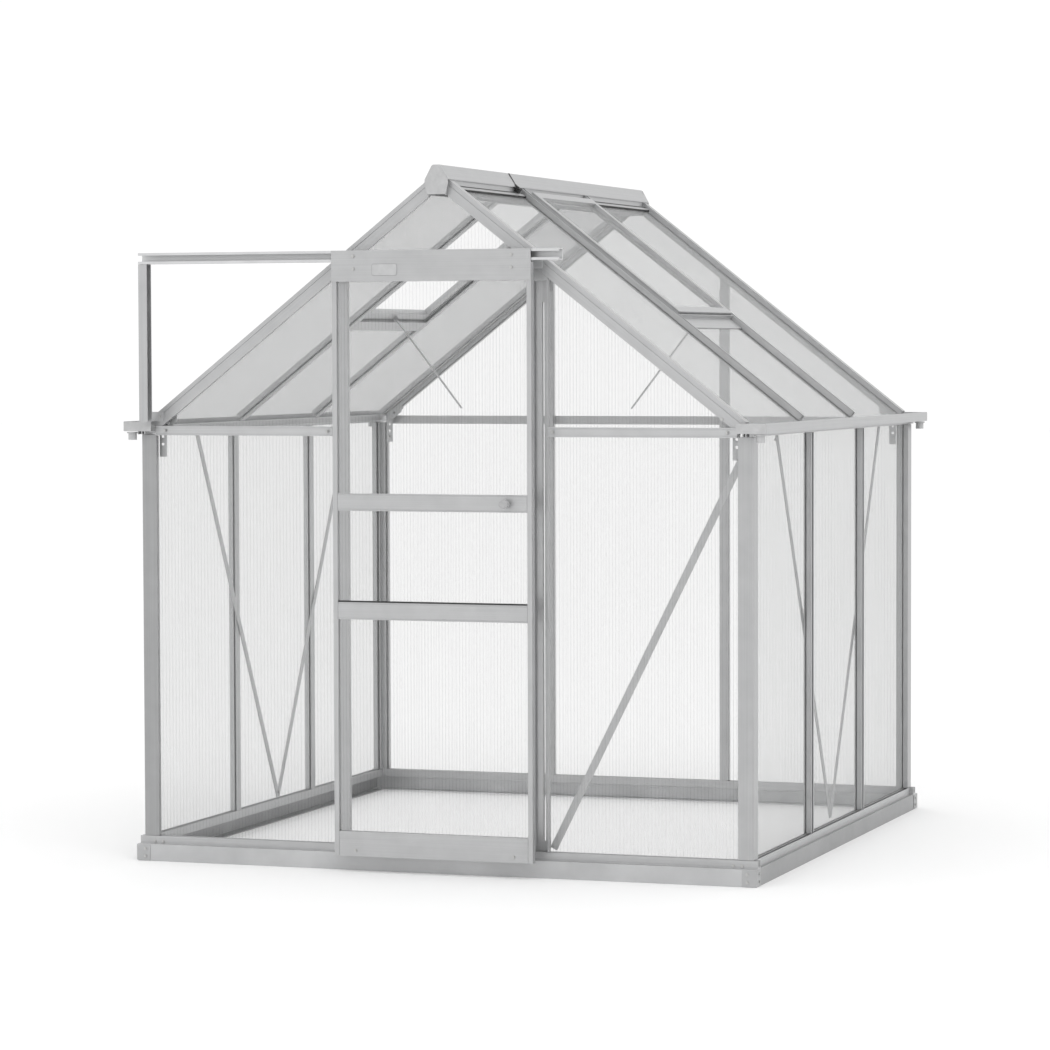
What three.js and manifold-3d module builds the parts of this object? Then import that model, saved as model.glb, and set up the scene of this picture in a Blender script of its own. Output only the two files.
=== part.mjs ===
// Walk-in greenhouse: aluminium bars, twin-wall glazing, sliding door and two roof vents.
// Millimetres, +Z up, origin at the middle of the footprint on the ground, door on the -Y side.
import * as THREE from 'three';
import { mergeVertices } from 'three/addons/utils/BufferGeometryUtils.js';
import Module from 'manifold-3d';

const wasm = await Module();
wasm.setup();

// Driving dimensions
const baseWidth = 1900;
const baseDepth = 1950;
const baseHeight = 50;
const sillTop = 72;
const setbackX = 14; // from the base face to the wall face, side walls
const setbackY = 24; // the same on the gables
const gutterTop = 1300;
const gutterReach = 45; // outwards from the wall face
const gutterHalfLength = 983;
const roofRun = 938; // half span of the roof's outer plane
const roofFoot = 1285;
const roofPeak = 2020;
const ridgeTop = 2037;
const ridgeHalfLength = 966;
const bay = 306; // studs, jambs and rafters stand this far from the middle
const wallSheet = 4; // glazing thickness
const sheetFace = 15.6; // how deep the bars hold the sheets' outer faces
const sheetBack = 20.4;
const sheetEdge = 26; // how far the sheets stop short of a wall's outer corner
const barDepth = 24;
const gutterSeat = 26; // the trough's floor and wall plate, below the gutter's top
const platePlane = gutterTop - gutterSeat;
const rafterEnd = 1152; // along the slope from the peak
const sheetEnd = 1178;
const gap = 0.4; // clearance between separate pieces
const doorMiddle = 5;
const doorHalfWidth = 303;
const doorBottom = 48;
const railTop = 1793;
const railBottom = 1760;
const railStart = -908;
const railEnd = 392;
const ventStart = 68;
const ventEnd = 656;
const ventHalfWidth = 287;
const stayLength = 355;
const stayPivotAlong = 648; // along the slope from the peak
const stayPivotOut = -20.5; // square to the slope
const knobReach = 1062; // front of the knob, from the frame's middle
const wallX = baseWidth / 2 - setbackX;
const wallY = baseDepth / 2 - setbackY;
const slope = Math.atan2(roofPeak - roofFoot, roofRun);
const studFoot = sillTop + 0.5;
const studHead = gutterTop - 39;
const originShift = (knobReach - gutterHalfLength) / 2;

// Finishes
const millAluminium = { color: 0xb9bbbc, roughness: 0.45, metalness: 0.8 };
const plinthMetal = { color: 0xa9abac, roughness: 0.5, metalness: 0.7 };
const clearSheet = { color: 0xeef1f2, roughness: 0.25, metalness: 0, transparent: true, opacity: 0.35 };
const greyPlastic = { color: 0x8d9092, roughness: 0.5, metalness: 0 };

const model = new THREE.Group();
model.position.set(0, originShift, 0);

// Solid helpers

function toSolid(geometry) {
  const bare = geometry.clone();
  bare.deleteAttribute('normal');
  bare.deleteAttribute('uv');
  const merged = mergeVertices(bare, 1e-4);
  const vertProperties = new Float32Array(merged.attributes.position.array);
  const triVerts = new Uint32Array(merged.index.array);
  return new wasm.Manifold(new wasm.Mesh({ numProp: 3, vertProperties, triVerts }));
}

function toGeometry(solid) {
  const mesh = solid.getMesh();
  const geometry = new THREE.BufferGeometry();
  geometry.setAttribute('position', new THREE.BufferAttribute(mesh.vertProperties, 3));
  geometry.setIndex(new THREE.BufferAttribute(mesh.triVerts, 1));
  return geometry;
}

function cut(geometry, tools) {
  let solid = toSolid(geometry);
  for (const tool of tools) {
    solid = solid.subtract(toSolid(tool));
  }
  return toGeometry(solid);
}

function join(geometries) {
  let solid = toSolid(geometries[0]);
  for (const other of geometries.slice(1)) {
    solid = solid.add(toSolid(other));
  }
  return toGeometry(solid);
}

function mirror(geometry, axis) {
  const bare = geometry.clone();
  bare.deleteAttribute('normal');
  bare.deleteAttribute('uv');
  const merged = mergeVertices(bare, 1e-4);
  merged.scale(axis === 'x' ? -1 : 1, axis === 'y' ? -1 : 1, 1);
  const order = Array.from(merged.index.array);
  merged.setIndex(order.reverse());
  return merged;
}

function addPiece(name, geometry, finish) {
  geometry.computeVertexNormals();
  const mesh = new THREE.Mesh(geometry, new THREE.MeshStandardMaterial(finish));
  mesh.name = name;
  model.add(mesh);
}

// A box between two opposite corners.
function block(low, high) {
  const size = high.map((value, i) => value - low[i]);
  const geometry = new THREE.BoxGeometry(size[0], size[1], size[2]);
  return geometry.translate((low[0] + high[0]) / 2, (low[1] + high[1]) / 2, (low[2] + high[2]) / 2);
}

// An outline pushed from start to end. Its first coordinate runs along side, the second along end x side.
function bar(outline, start, end, side) {
  const from = new THREE.Vector3(...start);
  const along = new THREE.Vector3(...end).sub(from);
  const length = along.length();
  const alongUnit = along.normalize();
  const sideUnit = new THREE.Vector3(...side).normalize();
  const upUnit = new THREE.Vector3().crossVectors(alongUnit, sideUnit);
  const shape = new THREE.Shape(outline.map(([x, y]) => new THREE.Vector2(x, y)));
  const geometry = new THREE.ExtrudeGeometry(shape, { depth: length, bevelEnabled: false });
  const placing = new THREE.Matrix4().makeBasis(sideUnit, upUnit, alongUnit).setPosition(from);
  return geometry.applyMatrix4(placing);
}

// A round profile of [radius, height] points about the Y axis, its height pointing towards -Y.
function turned(profile, middle, sides) {
  const points = profile.map(([radius, height]) => new THREE.Vector2(radius, height));
  const geometry = new THREE.LatheGeometry(points, sides);
  geometry.rotateX(-Math.PI).translate(middle[0], middle[1], middle[2]);
  return geometry;
}

// A point on the right slope: along from the peak, out from the roof's outer plane.
function onSlope(along, out, y) {
  const x = along * Math.cos(slope) + out * Math.sin(slope);
  const z = roofPeak - along * Math.sin(slope) + out * Math.cos(slope);
  return [x, y, z];
}

function roofHeight(x) {
  return roofPeak - Math.abs(x) * Math.tan(slope);
}

// Adds a right-hand piece and its mirror image on the left.
function addPair(name, geometry, finish) {
  const [stem, tail] = name.split('*');
  addPiece(`${stem}left${tail}`, mirror(geometry, 'x'), finish);
  addPiece(`${stem}right${tail}`, geometry, finish);
}

// Outlines

// Glazing bar: a lipped channel standing proud of the sheets, and an inner flange behind them.
function glazingBar(width) {
  const half = width / 2;
  const right = [
    [15, -barDepth], [15, -sheetBack], [2, -sheetBack], [2, -sheetFace], [half, -sheetFace],
    [half, 0], [half - 6, 0], [half - 6, -3], [half - 3, -3], [half - 3, -sheetFace + 3],
  ];
  const left = right.map(([x, y]) => [-x, y]).reverse();
  return [...right, ...left];
}

// Corner post: an arm along each wall, with the sheets' edges held behind it.
function cornerPostOutline() {
  const half = [
    [46, 0], [46, sheetFace], [24, sheetFace], [24, sheetBack], [40, sheetBack], [40, barDepth],
    [barDepth, barDepth],
  ];
  const other = half.slice(0, -1).map(([x, y]) => [y, x]).reverse();
  return [[0, 0], ...half, ...other];
}

// Plinth channel with the sill's slot on top; 0 is the plinth's outer face.
function baseOutline(setback) {
  const back = setback + barDepth;
  return [
    [-back, 0], [0, 0], [0, baseHeight], [2 - setback, baseHeight], [2 - setback, sillTop],
    [-1 - setback, sillTop], [-1 - setback, baseHeight + 4], [-12 - setback, baseHeight + 4],
    [-12 - setback, sillTop], [-15 - setback, sillTop], [-15 - setback, baseHeight + 2],
    [3 - back, baseHeight + 2], [3 - back, sillTop], [-back, sillTop], [-back, baseHeight - 3],
    [-3, baseHeight - 3],
    [-3, 3], [-back, 3],
  ];
}

// Gutter and wall plate in one bar; 0,0 is the wall face at the gutter's top.
const gutterOutline = [
  [-44, -10.4], [-44, -14.2], [-24, -29.9], [-24, -38], [-21, -38], [-21, -29], [-15, -29], [-15, -38],
  [-12, -38], [-12, -29], [-3, -29], [-3, -38], [0, -38], [0, -29], [gutterReach, -29],
  [gutterReach, 0], [gutterReach - 3, 0], [gutterReach - 3, -gutterSeat], [-24, -gutterSeat],
];

// Edge bar of the gables: 0,0 is the roof plane at the gable's face.
const gableRafterOutline = [
  [0, -40], [0, -14], [-2, -14], [-2, -11.5], [0, -11.5], [0, 0], [-30, 0], [-30, -sheetFace],
  [-barDepth, -sheetFace], [-barDepth, -sheetBack], [-36, -sheetBack], [-36, -barDepth],
  [-barDepth, -barDepth], [-barDepth, -36], [-sheetBack, -36], [-sheetBack, -barDepth],
  [-sheetFace, -barDepth], [-sheetFace, -40],
];

function ridgeOutline() {
  const lipOut = 35;
  const under = (x) => roofHeight(x) + 1.5;
  const lipFoot = under(lipOut);
  const outer = [[26, 1950], [29, 1950], [29, under(29)], [lipOut, lipFoot], [lipOut, lipFoot + 3.8]];
  const inner = [[8, ridgeTop - 4], [26, under(29) + 1]];
  const right = [...outer, [10, ridgeTop]];
  const left = right.map(([x, z]) => [-x, z]).reverse();
  return [...right, ...left, ...inner.map(([x, z]) => [-x, z]).reverse(), ...inner];
}

// Plinth and sill

function addBase() {
  const outX = baseWidth / 2;
  const outY = baseDepth / 2;
  const innerEnd = outY - setbackY - barDepth - gap;
  const front = bar(baseOutline(setbackY), [outX, -outY, 0], [-outX, -outY, 0], [0, -1, 0]);
  addPiece('base_front', front, plinthMetal);
  addPiece('base_back', mirror(front, 'y'), plinthMetal);
  const side = bar(baseOutline(setbackX), [outX, innerEnd, 0], [outX, -innerEnd, 0], [1, 0, 0]);
  addPair('base_*', side, plinthMetal);
}

// Posts, studs and jambs

function addPosts() {
  const post = bar(cornerPostOutline(), [wallX, wallY, studFoot], [wallX, wallY, studHead], [-1, 0, 0]);
  const cell = (depthX, nearX, depthY, nearY) => {
    return block([wallX - depthX, wallY - depthY, 0], [wallX - nearX, wallY - nearY, gutterTop]);
  };
  const cells = [cell(18, 3, 18, 3), cell(43, 21, sheetFace - 3, 3), cell(sheetFace - 3, 3, 43, 21)];
  const hollowPost = cut(post, cells);
  addPair('post_back_*', hollowPost, millAluminium);
  addPair('post_front_*', mirror(hollowPost, 'y'), millAluminium);
}

function addSideStuds() {
  for (const [place, y] of [['front', -bay], ['back', bay]]) {
    const stud = bar(glazingBar(30), [wallX, y, studFoot], [wallX, y, studHead], [0, -1, 0]);
    addPair(`stud_*_${place}`, stud, millAluminium);
  }
}

function addGableStuds() {
  const head = roofHeight(bay + 24) - 40 / Math.cos(slope) - 8;
  const stud = bar(glazingBar(30), [bay, wallY, studFoot], [bay, wallY, head], [1, 0, 0]);
  addPair('stud_back_*', stud, millAluminium);
  const jamb = bar(glazingBar(48), [bay, -wallY, studFoot], [bay, -wallY, head], [-1, 0, 0]);
  addPiece('jamb_left', mirror(jamb, 'x'), millAluminium);
  const slot = block([bay + 3, -wallY - 1, studFoot + 30], [bay + 10, -wallY + barDepth + 1, head - 60]);
  addPiece('jamb_right', cut(jamb, [slot]), millAluminium);
  return head;
}

// Eaves and gable ties

function addGutters() {
  const ends = [-gutterHalfLength, gutterHalfLength];
  const gutter = bar(gutterOutline, [wallX, ends[1], gutterTop], [wallX, ends[0], gutterTop], [1, 0, 0]);
  addPair('gutter_*', gutter, millAluminium);
}

function addTies() {
  const outline = [[0, 0], [8, 0], [8, 3], [3, 3], [3, 25], [8, 25], [8, 28], [0, 28]];
  const inner = bay + 24 + gap;
  const outer = wallX - 46 - gap;
  const face = wallY + gap;
  const front = bar(outline, [outer, -face, 1259], [inner, -face, 1259], [0, -1, 0]);
  addPair('tie_front_*', front, millAluminium);
  const back = bar(outline, [-outer, face, 1256], [outer, face, 1256], [0, 1, 0]);
  addPiece('tie_back', back, millAluminium);
}

// Roof bars

function slopeTrims() {
  const peak = block([-29 - gap, -1100, 1900], [29 + gap, 1100, 2100]);
  const seat = [
    [wallX - 44 - gap, 1100], [1100, 1100], [1100, platePlane + gap], [wallX - 24, platePlane + gap],
    [wallX - 44 - gap, gutterTop - 9.6],
  ];
  const foot = bar(seat, [0, 1100, 0], [0, -1100, 0], [1, 0, 0]);
  return [peak, foot];
}

function addRafters() {
  const top = 10;
  const gableEnd = rafterEnd + 10;
  const gable = bar(gableRafterOutline, onSlope(top, 0, wallY), onSlope(gableEnd, 0, wallY), [0, 1, 0]);
  const back = cut(gable, slopeTrims());
  addPair('rafter_*_gable_back', back, millAluminium);
  addPair('rafter_*_gable_front', mirror(back, 'y'), millAluminium);
  for (const [place, y] of [['front', -bay], ['back', bay]]) {
    const rafter = bar(glazingBar(30), onSlope(top, 0, y), onSlope(rafterEnd, 0, y), [0, 1, 0]);
    addPair(`rafter_*_${place}`, cut(rafter, slopeTrims()), millAluminium);
  }
}

function addRidge() {
  const half = ridgeHalfLength;
  const ridge = bar(ridgeOutline(), [0, half, 0], [0, -half, 0], [1, 0, 0]);
  addPiece('ridge', ridge, millAluminium);
}

// Vent sill: [along the slope, out of the roof plane]
function addVentSills() {
  const start = ventEnd + 4;
  const outline = [
    [start, -barDepth], [start + 42, -barDepth], [start + 42, -sheetBack], [start + 16, -sheetBack],
    [start + 16, -sheetFace], [start + 50, -sheetFace], [start + 50, -sheetFace + 3],
    [start + 3, -sheetFace + 3], [start + 3, 0], [start, 0],
  ];
  const half = ventHalfWidth + 2;
  const side = [Math.cos(slope), 0, -Math.sin(slope)];
  const sill = bar(outline, [0, half, roofPeak], [0, -half, roofPeak], side);
  addPair('vent_sill_*', sill, millAluminium);
}

// Glazing

function wallSheetBox(alongLow, alongHigh, bottom, top) {
  return block([wallX - sheetBack + gap, alongLow, bottom], [wallX - sheetFace - gap, alongHigh, top]);
}

function addWallGlazing() {
  const bottom = baseHeight + 6;
  const half = wallY - sheetEdge;
  const sheet = wallSheetBox(-half, half, bottom, gutterTop - 31);
  const slots = [-bay, bay].map((y) => wallSheetSlot(y, bottom));
  addPair('glazing_*', cut(sheet, slots), clearSheet);
}

function wallSheetSlot(y, bottom) {
  return block([wallX - 40, y - 3, bottom - 10], [wallX + 20, y + 3, studHead + 1]);
}

function gableSheet() {
  const half = wallX - sheetEdge;
  const under = (x) => roofHeight(x) - (barDepth + 1) / Math.cos(slope);
  const eave = wallX - 48;
  const crown = 1948;
  const crownHalf = (roofPeak - (barDepth + 1) / Math.cos(slope) - crown) / Math.tan(slope);
  const outline = [
    [-half, baseHeight + 6], [half, baseHeight + 6], [half, studHead], [eave, studHead],
    [eave, under(eave)], [crownHalf, crown], [-crownHalf, crown], [-eave, under(eave)],
    [-eave, studHead], [-half, studHead],
  ];
  return bar(outline, [0, -wallY + sheetBack - gap, 0], [0, -wallY + sheetFace + gap, 0], [1, 0, 0]);
}

function addGableGlazing(studTop) {
  const low = baseHeight - 10;
  const doorway = block([-bay - 3, -1100, low], [bay + 3, -800, studTop + 1]);
  addPiece('glazing_front', cut(gableSheet(), [doorway]), clearSheet);
  const slots = [-bay, bay].map((x) => block([x - 3, 800, low], [x + 3, 1100, studTop + 1]));
  addPiece('glazing_back', cut(mirror(gableSheet(), 'y'), slots), clearSheet);
}

function addRoofGlazing() {
  const top = 56;
  const outer = -sheetFace - gap;
  const outline = [[top, outer - wallSheet], [sheetEnd, outer - wallSheet], [sheetEnd, outer], [top, outer]];
  const half = wallY - sheetEdge;
  const side = [Math.cos(slope), 0, -Math.sin(slope)];
  const sheet = bar(outline, [0, half, roofPeak], [0, -half, roofPeak], side);
  const sillSlot = ventEnd + 22;
  const reach = rafterEnd + 6;
  const slot = [[0, -40], [reach, -40], [reach, 20], [0, 20]];
  const vent = [[0, -40], [sillSlot, -40], [sillSlot, 20], [0, 20]];
  const tools = [-bay, bay].map((y) => bar(slot, [0, y + 3, roofPeak], [0, y - 3, roofPeak], side));
  tools.push(bar(vent, [0, bay, roofPeak], [0, -bay, roofPeak], side));
  addPair('glazing_roof_*', cut(sheet, tools), clearSheet);
}

// Flat braces

function strap(start, end, across, thickness) {
  const width = 22;
  const outline = [[-width / 2, 0], [width / 2, 0], [width / 2, thickness], [-width / 2, thickness]];
  return bar(outline, start, end, across);
}

function addBraces() {
  const depth = barDepth + gap;
  const x = wallX - depth;
  const topY = 615;
  const topZ = 1262;
  const footZ = 85;
  const length = Math.hypot(topY, topZ - footZ);
  const across = [0, (topZ - footZ) / length, -topY / length];
  const rising = strap([x, 0, footZ], [x, topY, topZ], across, 3);
  const vee = join([rising, mirror(rising, 'y')]);
  addPair('brace_*', vee, millAluminium);
  const run = 565;
  const rise = 1130;
  const frontLength = Math.hypot(run, rise);
  const y = -wallY + depth;
  const acrossFront = [rise / frontLength, 0, -run / frontLength];
  const low = [335, y, 80];
  const high = [335 + run, y, 80 + rise];
  addPiece('brace_front', strap(low, high, acrossFront, 3), millAluminium);
}

// Door rail with its two arms, and the post under its free end

function addRail() {
  const back = 1000;
  const outline = [
    [back, railBottom], [back + 32, railBottom], [back + 32, railBottom + 8], [back + 29, railBottom + 8],
    [back + 29, railBottom + 3], [back + 3, railBottom + 3], [back + 3, railTop - 3],
    [back + 29, railTop - 3], [back + 29, railTop - 8], [back + 32, railTop - 8], [back + 32, railTop],
    [back, railTop],
  ];
  const channel = bar(outline, [railEnd, 0, 0], [railStart, 0, 0], [0, -1, 0]);
  const arms = [-300, 300].map((x) => {
    return block([x - 15, -back - 1, railBottom + 2], [x + 15, -wallY - gap, railBottom + 6]);
  });
  const tabs = [-300, 300].map((x) => {
    return block([x - 15, -wallY - 3 - gap, railBottom - 22], [x + 15, -wallY - gap, railBottom + 6]);
  });
  addPiece('rail', join([channel, ...arms, ...tabs]), millAluminium);
  const postFoot = 1300;
  const post = [
    [0, 0], [27, 0], [27, 3], [3, 3], [3, 29], [27, 29], [27, 32], [0, 32],
  ];
  const channelPost = bar(
    post, [railStart, -back - 31, postFoot], [railStart, -back - 31, railBottom - gap], [1, 0, 0],
  );
  const tongue = block([railStart + 3, -back + gap, 1735], [railStart + 23, -back + 3, railTop - 4]);
  const foot = block([railStart + 3, -back - 2, postFoot], [railStart + 23, -wallY - gap, postFoot + 3]);
  const tab = block([railStart + 3, -wallY - 3 - gap, postFoot], [railStart + 43, -wallY - gap, 1328]);
  addPiece('rail_post', join([channelPost, tongue, foot, tab]), millAluminium);
}

// Door

const leafFront = -1032;
const stileWidth = 14;

function addDoorFrame() {
  const stile = [
    [0, 0], [stileWidth, 0], [stileWidth, 8], [6, 8], [6, 14], [stileWidth, 14], [stileWidth, 22], [0, 22],
  ];
  const left = doorMiddle - doorHalfWidth;
  const right = doorMiddle + doorHalfWidth;
  const stileTop = railBottom - 5;
  const leftStile = bar(stile, [left, leafFront, doorBottom], [left, leafFront, stileTop], [1, 0, 0]);
  addPiece('door_stile_left', leftStile, millAluminium);
  const mirrored = mirror(leftStile, 'x').translate(left + right, 0, 0);
  addPiece('door_stile_right', mirrored, millAluminium);
  const inLeft = left + stileWidth + gap;
  const inRight = right - stileWidth - gap;
  const mid = [
    [0, 0], [8.4, 0], [8.4, 3], [3.2, 3], [3.2, 47], [8.4, 47], [8.4, 50], [0, 50], [0, 48],
    [1.2, 48], [1.2, 45], [0, 45], [0, 5], [1.2, 5], [1.2, 2], [0, 2],
  ];
  for (const [name, z] of [['door_mid_rail_upper', 1046], ['door_mid_rail_lower', 733]]) {
    const rail = bar(mid, [inLeft, leafFront, z], [inRight, leafFront, z], [0, 1, 0]);
    addPiece(name, rail, millAluminium);
  }
  const bottom = [[0, 0], [22, 0], [22, 72], [14, 72], [14, 58], [8, 58], [8, 72], [0, 72]];
  const bottomStart = [inLeft, leafFront, doorBottom];
  const bottomRail = bar(bottom, bottomStart, [inRight, leafFront, doorBottom], [0, 1, 0]);
  addPiece('door_bottom_rail', bottomRail, millAluminium);
  const top = [[-2, 0], [8, 0], [8, 14], [14, 14], [14, 0], [22, 0], [22, 40], [19, 40], [19, 17], [-2, 17]];
  const topRail = bar(top, [inLeft, leafFront, 1704], [inRight, leafFront, 1704], [0, 1, 0]);
  const plate = block([left, leafFront - 4, 1704], [right, leafFront - gap, railTop]);
  addPiece('door_header', join([topRail, plate]), millAluminium);
}

function addDoorPane() {
  const left = doorMiddle - doorHalfWidth + 7;
  const right = doorMiddle + doorHalfWidth - 7;
  const pane = block([left, leafFront + 9, doorBottom + 60], [right, leafFront + 9 + wallSheet, 1716]);
  addPiece('door_pane', pane, clearSheet);
}

function addKnob() {
  const depth = knobReach + leafFront - gap;
  const neck = [[0, 0], [11, 0], [9, 5], [7, 9]];
  const head = [[12, 13], [14, 19], [13, depth - 3], [8, depth], [0, depth]];
  const profile = [...neck, ...head];
  const middle = [doorMiddle + 226, leafFront - gap, 1071];
  addPiece('door_knob', turned(profile, middle, 20), greyPlastic);
}

// Each roller runs in the rail on an axle that meets the header plate.
function addRollers() {
  const profile = [[0, 0], [10.8, 0], [9.4, 5], [10.8, 10], [10.8, 11], [3, 12], [3, 21.4], [0, 21.4]];
  for (const [name, x] of [['roller_left', -236], ['roller_right', 236]]) {
    const middle = [doorMiddle + x, -1010.6, railBottom + 14.3];
    addPiece(name, turned(profile, middle, 20), greyPlastic);
  }
}

// Vents and their stays

function addVents() {
  const barWidth = 26;
  const low = -14;
  const high = 6;
  const side = [Math.cos(slope), 0, -Math.sin(slope)];
  const slab = (start, end, half, bottom, top) => {
    const outline = [[start, bottom], [end, bottom], [end, top], [start, top]];
    return bar(outline, [0, half, roofPeak], [0, -half, roofPeak], side);
  };
  const whole = slab(ventStart, ventEnd, ventHalfWidth, low, high);
  const hole = slab(ventStart + barWidth, ventEnd - barWidth, ventHalfWidth - barWidth, low - 5, high + 5);
  const cheek = (inner, outer) => {
    const outline = [[stayPivotAlong - 6, -26], [stayPivotAlong + 6, -26], [stayPivotAlong + 6, low + 1],
      [stayPivotAlong - 6, low + 1]];
    return bar(outline, [0, outer, roofPeak], [0, inner, roofPeak], side);
  };
  const sash = join([cut(whole, [hole]), cheek(5.4, 7.4), cheek(-7.4, -5.4)]);
  addPair('vent_frame_*', sash, millAluminium);
  const edge = barWidth + gap;
  const pane = slab(ventStart + edge, ventEnd - edge, ventHalfWidth - edge, -9, -9 + wallSheet);
  addPair('vent_pane_*', pane, clearSheet);
  const stay = slab(
    stayPivotAlong - 2, stayPivotAlong + 2, 5, stayPivotOut - stayLength, stayPivotOut + 1,
  );
  addPair('vent_stay_*', stay, millAluminium);
}

addBase();
addPosts();
addSideStuds();
const studTop = addGableStuds();
addGutters();
addTies();
addRafters();
addRidge();
addVentSills();
addWallGlazing();
addGableGlazing(studTop);
addRoofGlazing();
addBraces();
addRail();
addDoorFrame();
addDoorPane();
addKnob();
addRollers();
addVents();

export default model;
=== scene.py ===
import bpy
import bmesh
import math
from mathutils import Matrix, Vector


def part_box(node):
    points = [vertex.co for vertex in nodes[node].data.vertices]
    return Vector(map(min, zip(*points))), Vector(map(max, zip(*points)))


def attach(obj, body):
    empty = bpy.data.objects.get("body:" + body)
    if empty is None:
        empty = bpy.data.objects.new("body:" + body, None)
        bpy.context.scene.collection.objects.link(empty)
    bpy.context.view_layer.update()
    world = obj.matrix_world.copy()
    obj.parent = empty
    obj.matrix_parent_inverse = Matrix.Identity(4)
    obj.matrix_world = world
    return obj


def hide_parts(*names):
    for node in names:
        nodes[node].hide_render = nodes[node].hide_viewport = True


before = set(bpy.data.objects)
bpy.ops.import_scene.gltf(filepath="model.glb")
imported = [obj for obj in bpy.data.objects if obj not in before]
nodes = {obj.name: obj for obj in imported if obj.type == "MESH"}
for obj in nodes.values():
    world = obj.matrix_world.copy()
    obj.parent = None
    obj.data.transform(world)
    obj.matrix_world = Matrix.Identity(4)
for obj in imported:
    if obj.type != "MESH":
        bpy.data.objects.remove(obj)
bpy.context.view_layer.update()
print("frame loaded:", len(nodes), "nodes")


# where things are, read from the frame

def lowCorner(node):
    return Vector(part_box(node)[0])


def highCorner(node):
    return Vector(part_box(node)[1])


def widestFace(node):
    # the normal of the node's largest triangle, turned upwards
    face = max(nodes[node].data.polygons, key=lambda polygon: polygon.area)
    normal = face.normal.copy()
    return normal if normal.z > 0 else -normal


middleY = (lowCorner("gutter_left").y + highCorner("gutter_left").y) / 2
wallX = highCorner("post_front_right").x
frontY = lowCorner("post_front_right").y
backY = highCorner("post_back_right").y
roofNormal = widestFace("vent_pane_right")
slopeAngle = math.atan2(roofNormal.x, roofNormal.z)
slopeOffset = max(Vector(vertex.co).dot(roofNormal) for vertex in nodes["rafter_right_front"].data.vertices)
peakZ = slopeOffset / roofNormal.z
studY = (lowCorner("stud_right_back").y + highCorner("stud_right_back").y) / 2 - middleY


def roofHeight(x):
    return peakZ - abs(x) * math.tan(slopeAngle)


def slopePoint(along, out, y, side=1):
    # along the slope from the peak, out of the roof plane; side is 1 for right, -1 for left
    x = along * math.cos(slopeAngle) + out * math.sin(slopeAngle)
    z = peakZ - along * math.sin(slopeAngle) + out * math.cos(slopeAngle)
    return Vector((x * side, y, z))


# camera, light and floor

view = {
    "place": (3.8082, -11.1448, 1.5095),
    "heading": -19.125,   # degrees clockwise from +Y
    "tilt": -2.652,
    "roll": -0.183,
    "lens": 130.31,
    "sensor": 36,
    "farthest": 200,
}


def makeCamera():
    data = bpy.data.cameras.new("viewCamera")
    data.sensor_width = view["sensor"]
    data.lens = view["lens"]
    data.clip_end = view["farthest"]
    camera = bpy.data.objects.new("viewCamera", data)
    bpy.context.collection.objects.link(camera)
    turn = Matrix.Rotation(math.radians(-view["heading"]), 4, "Z")
    lift = Matrix.Rotation(math.radians(90 + view["tilt"]), 4, "X")
    spin = Matrix.Rotation(math.radians(view["roll"]), 4, "Z")
    camera.matrix_world = Matrix.Translation(view["place"]) @ turn @ lift @ spin
    bpy.context.scene.camera = camera


light = {
    "worldStrength": 1.03,
    "keyPower": 120,
    "keyPlace": (4.5, -6, 8),
    "keyTarget": (0, 0, 0.6),
    "fillPower": 20,
    "fillPlace": (-6, -5, 5),
    "fillTarget": (0, 0, 0.8),
    "lampSize": 6.0,
    "floorColor": (0.985, 0.985, 0.985, 1),
    "floorRough": 0.9,
    "floorHalf": 60,
    "clearLayers": 40,    # sheet faces a ray may pass
}


def addArea(name, place, target, power, size):
    data = bpy.data.lights.new(name, "AREA")
    data.energy = power
    data.size = size
    lamp = bpy.data.objects.new(name, data)
    bpy.context.collection.objects.link(lamp)
    direction = Vector(target) - Vector(place)
    lamp.matrix_world = Matrix.Translation(place) @ direction.to_track_quat("-Z", "Y").to_matrix().to_4x4()


def makeStudio():
    scene = bpy.context.scene
    scene.view_settings.view_transform = "Standard"
    scene.cycles.transparent_max_bounces = light["clearLayers"]
    world = bpy.data.worlds.new("softStudio")
    scene.world = world
    world.use_nodes = True
    background = world.node_tree.nodes["Background"]
    background.inputs["Color"].default_value = (1, 1, 1, 1)
    background.inputs["Strength"].default_value = light["worldStrength"]
    for lamp in ("key", "fill"):
        place, target, power = (light[lamp + what] for what in ("Place", "Target", "Power"))
        addArea(lamp + "Light", place, target, power, light["lampSize"])
    bm = bmesh.new()
    bmesh.ops.create_grid(bm, x_segments=1, y_segments=1, size=light["floorHalf"])
    mesh = bpy.data.meshes.new("studioFloor")
    bm.to_mesh(mesh)
    bm.free()
    floor = bpy.data.objects.new("studioFloor", mesh)
    bpy.context.collection.objects.link(floor)
    material = bpy.data.materials.new("paleFloor")
    material.use_nodes = True
    shader = material.node_tree.nodes["Principled BSDF"]
    shader.inputs["Base Color"].default_value = light["floorColor"]
    shader.inputs["Roughness"].default_value = light["floorRough"]
    mesh.materials.append(material)


makeCamera()
makeStudio()
print("camera, light and floor ready")


# materials

def newNode(tree, kind, **settings):
    made = tree.nodes.new(kind)
    for key, value in settings.items():
        setattr(made, key, value)
    return made


def mathNode(tree, operation, first, second=None):
    made = newNode(tree, "ShaderNodeMath", operation=operation)
    for socket, value in zip(made.inputs, (first, second)):
        if value is None:
            continue
        if isinstance(value, (int, float)):
            socket.default_value = value
        else:
            tree.links.new(value, socket)
    return made.outputs[0]


def startMaterial(name):
    material = bpy.data.materials.new(name)
    material.use_nodes = True
    return material, material.node_tree, material.node_tree.nodes["Principled BSDF"]


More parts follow.
